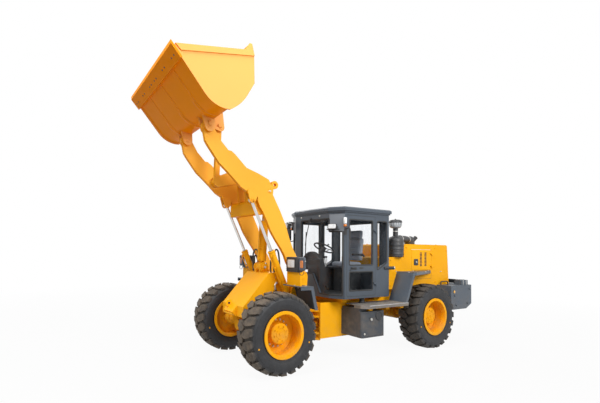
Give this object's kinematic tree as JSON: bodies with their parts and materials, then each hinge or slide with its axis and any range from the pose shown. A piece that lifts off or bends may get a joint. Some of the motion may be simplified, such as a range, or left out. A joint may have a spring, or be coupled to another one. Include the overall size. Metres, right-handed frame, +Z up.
{
  "type": "wheel loader",
  "caption": "Articulated wheel loader with a cab, an engine hood, a raised boom with hydraulic cylinders and a rolled-back bucket.",
  "frame": {"origin": "on the ground, under the middle of the overall length and width, with the boom raised", "axes": "+X forward, +Y to the driver's left, +Z up"},
  "size_m": [6.8578, 2.056, 4.77],
  "materials": {
    "yellow_paint": "gloss enamel",
    "grey_paint": "satin enamel",
    "black_paint": "satin enamel",
    "tyre_rubber": "moulded",
    "chrome_rod": "polished",
    "cast_block": "cast",
    "edge_steel": "worn enamel",
    "cab_glass": "clear",
    "seat_vinyl": "grained",
    "black_plastic": "moulded",
    "lamp_plastic": "moulded"
  },
  "bodies": {
    "rear_frame": {"rear_frame": "yellow_paint", "frame_side_left": "yellow_paint", "frame_side_right": "yellow_paint", "engine_block": "cast_block", "hood": "yellow_paint", "radiator_grille": "black_paint", "counterweight": "grey_paint", "battery_boxes": "black_plastic", "rear_fenders": "grey_paint", "platforms": "grey_paint", "side_tanks": "grey_paint", "air_cleaner": "black_paint", "exhaust_pipe": "black_paint", "cab_shell": "grey_paint", "cab_floor": "grey_paint", "cab_roof": "grey_paint", "cab_glass": "cab_glass", "seat_base": "black_paint", "seat_cushions": "seat_vinyl", "console": "black_plastic", "steering_wheel": "black_plastic", "mirrors": "black_plastic", "cab_lights": "lamp_plastic", "rear_axle": "yellow_paint"},
    "front_frame": {"front_frame": "yellow_paint", "front_fenders": "grey_paint", "light_boxes": "yellow_paint", "headlights": "lamp_plastic", "front_axle": "yellow_paint"},
    "boom": {"boom_arm_left": "yellow_paint", "boom_arm_right": "yellow_paint", "boom_cross_tube": "yellow_paint"},
    "bell_crank": {"bell_crank": "yellow_paint"},
    "tilt_link": {"tilt_link": "yellow_paint"},
    "bucket": {"bucket_shell": "yellow_paint", "cutting_edge": "edge_steel"},
    "tilt_barrel": {"tilt_barrel": "yellow_paint"},
    "tilt_rod": {"tilt_rod": "chrome_rod"},
    "door_left": {"door_left": "grey_paint", "door_glass_left": "cab_glass"},
    "door_right": {"door_right": "grey_paint", "door_glass_right": "cab_glass"},
    "hood_door_left": {"hood_door_left": "yellow_paint"},
    "hood_door_right": {"hood_door_right": "yellow_paint"},
    "wheel_front_left": {"tyre_front_left": "tyre_rubber", "rim_front_left": "yellow_paint"},
    "wheel_front_right": {"tyre_front_right": "tyre_rubber", "rim_front_right": "yellow_paint"},
    "wheel_rear_left": {"tyre_rear_left": "tyre_rubber", "rim_rear_left": "yellow_paint"},
    "wheel_rear_right": {"tyre_rear_right": "tyre_rubber", "rim_rear_right": "yellow_paint"},
    "lift_barrel_left": {"lift_barrel_left": "yellow_paint"},
    "lift_rod_left": {"lift_rod_left": "chrome_rod"},
    "steering_barrel_left": {"steering_barrel_left": "yellow_paint"},
    "steering_rod_left": {"steering_rod_left": "chrome_rod"},
    "lift_barrel_right": {"lift_barrel_right": "yellow_paint"},
    "lift_rod_right": {"lift_rod_right": "chrome_rod"},
    "steering_barrel_right": {"steering_barrel_right": "yellow_paint"},
    "steering_rod_right": {"steering_rod_right": "chrome_rod"}
  },
  "joints": [
    {"name": "steer", "type": "hinge", "parent": "rear_frame", "child": "front_frame", "pos_m": [0.654, 0, 0.56], "axis": [0, 0, 1], "range_deg": [-35, 35]},
    {"name": "boom_lift", "type": "hinge", "parent": "front_frame", "child": "boom", "pos_m": [0.874, 0, 1.42], "axis": [0, -1, 0], "range_deg": [-76, 3]},
    {"name": "bucket_tilt", "type": "hinge", "parent": "boom", "child": "bucket", "pos_m": [2.619, 0, 3.675], "axis": [0, 1, 0], "range_deg": [-75, 90]},
    {"name": "crank_turn", "type": "hinge", "parent": "boom", "child": "bell_crank", "pos_m": [1.714, 0, 3.11], "axis": [0, -1, 0], "range_deg": [-38, 45.5]},
    {"name": "link_turn", "type": "hinge", "parent": "bucket", "child": "tilt_link", "pos_m": [2.224, 0, 3.845], "axis": [0, -1, 0], "range_deg": [-57, 68]},
    {"name": "tilt_barrel_turn", "type": "hinge", "parent": "front_frame", "child": "tilt_barrel", "pos_m": [1.369, 0, 1.57], "axis": [0, -1, 0], "range_deg": [-102, 5]},
    {"name": "tilt_rod_slide", "type": "slide", "parent": "tilt_barrel", "child": "tilt_rod", "axis": [-0.0697, 0, 0.9976], "range_m": [-0.26, 0.215]},
    {"name": "lift_barrel_turn_left", "type": "hinge", "parent": "front_frame", "child": "lift_barrel_left", "pos_m": [1.069, 0.43, 1.05], "axis": [0, -1, 0], "range_deg": [-75, 4]},
    {"name": "lift_rod_slide_left", "type": "slide", "parent": "lift_barrel_left", "child": "lift_rod_left", "axis": [0.4339, 0, 0.901], "range_m": [-0.52, 0.025]},
    {"name": "steering_barrel_turn_left", "type": "hinge", "parent": "rear_frame", "child": "steering_barrel_left", "pos_m": [-0.15, 0.33, 0.56], "axis": [0, 0, 1], "range_deg": [-2.2, 2.2]},
    {"name": "steering_rod_slide_left", "type": "slide", "parent": "steering_barrel_left", "child": "steering_rod_left", "axis": [0.9977, -0.0673, 0], "range_m": [-0.165, 0.165]},
    {"name": "lift_barrel_turn_right", "type": "hinge", "parent": "front_frame", "child": "lift_barrel_right", "pos_m": [1.069, -0.43, 1.05], "axis": [0, -1, 0], "range_deg": [-75, 4]},
    {"name": "lift_rod_slide_right", "type": "slide", "parent": "lift_barrel_right", "child": "lift_rod_right", "axis": [0.4339, 0, 0.901], "range_m": [-0.52, 0.025]},
    {"name": "steering_barrel_turn_right", "type": "hinge", "parent": "rear_frame", "child": "steering_barrel_right", "pos_m": [-0.15, -0.33, 0.56], "axis": [0, 0, 1], "range_deg": [-2.2, 2.2]},
    {"name": "steering_rod_slide_right", "type": "slide", "parent": "steering_barrel_right", "child": "steering_rod_right", "axis": [0.9977, 0.0673, 0], "range_m": [-0.165, 0.165]},
    {"name": "spin_front_left", "type": "hinge", "parent": "front_frame", "child": "wheel_front_left", "pos_m": [1.59, 0.812, 0.62], "axis": [0, 1, 0], "continuous": true},
    {"name": "spin_front_right", "type": "hinge", "parent": "front_frame", "child": "wheel_front_right", "pos_m": [1.59, -0.812, 0.62], "axis": [0, 1, 0], "continuous": true},
    {"name": "spin_rear_left", "type": "hinge", "parent": "rear_frame", "child": "wheel_rear_left", "pos_m": [-2, 0.812, 0.62], "axis": [0, 1, 0], "continuous": true},
    {"name": "spin_rear_right", "type": "hinge", "parent": "rear_frame", "child": "wheel_rear_right", "pos_m": [-2, -0.812, 0.62], "axis": [0, 1, 0], "continuous": true},
    {"name": "door_left_swing", "type": "hinge", "parent": "rear_frame", "child": "door_left", "pos_m": [-0.649, 0.735, 1.6], "axis": [0, 0, 1], "range_deg": [0, 90]},
    {"name": "hood_door_left_swing", "type": "hinge", "parent": "rear_frame", "child": "hood_door_left", "pos_m": [-2.483, 0.615, 1.7], "axis": [0, 0, 1], "range_deg": [0, 90]},
    {"name": "door_right_swing", "type": "hinge", "parent": "rear_frame", "child": "door_right", "pos_m": [-0.649, -0.735, 1.6], "axis": [0, 0, -1], "range_deg": [0, 90]},
    {"name": "hood_door_right_swing", "type": "hinge", "parent": "rear_frame", "child": "hood_door_right", "pos_m": [-2.483, -0.615, 1.7], "axis": [0, 0, -1], "range_deg": [0, 90]}
  ],
  "couplings": [
    {"joint": "crank_turn", "follows": "bucket_tilt", "ratio": 0.5},
    {"joint": "link_turn", "follows": "bucket_tilt", "ratio": 0.75},
    {"joint": "tilt_barrel_turn", "follows": "boom_lift", "ratio": 1.33},
    {"joint": "tilt_rod_slide", "follows": "bucket_tilt", "m_per_rad": -0.16},
    {"joint": "lift_barrel_turn_left", "follows": "boom_lift", "ratio": 0.974},
    {"joint": "lift_rod_slide_left", "follows": "boom_lift", "m_per_rad": 0.387},
    {"joint": "steering_barrel_turn_left", "follows": "steer", "ratio": 0.057},
    {"joint": "steering_rod_slide_left", "follows": "steer", "m_per_rad": -0.261},
    {"joint": "lift_barrel_turn_right", "follows": "boom_lift", "ratio": 0.974},
    {"joint": "lift_rod_slide_right", "follows": "boom_lift", "m_per_rad": 0.387},
    {"joint": "steering_barrel_turn_right", "follows": "steer", "ratio": 0.057},
    {"joint": "steering_rod_slide_right", "follows": "steer", "m_per_rad": 0.261}
  ]
}
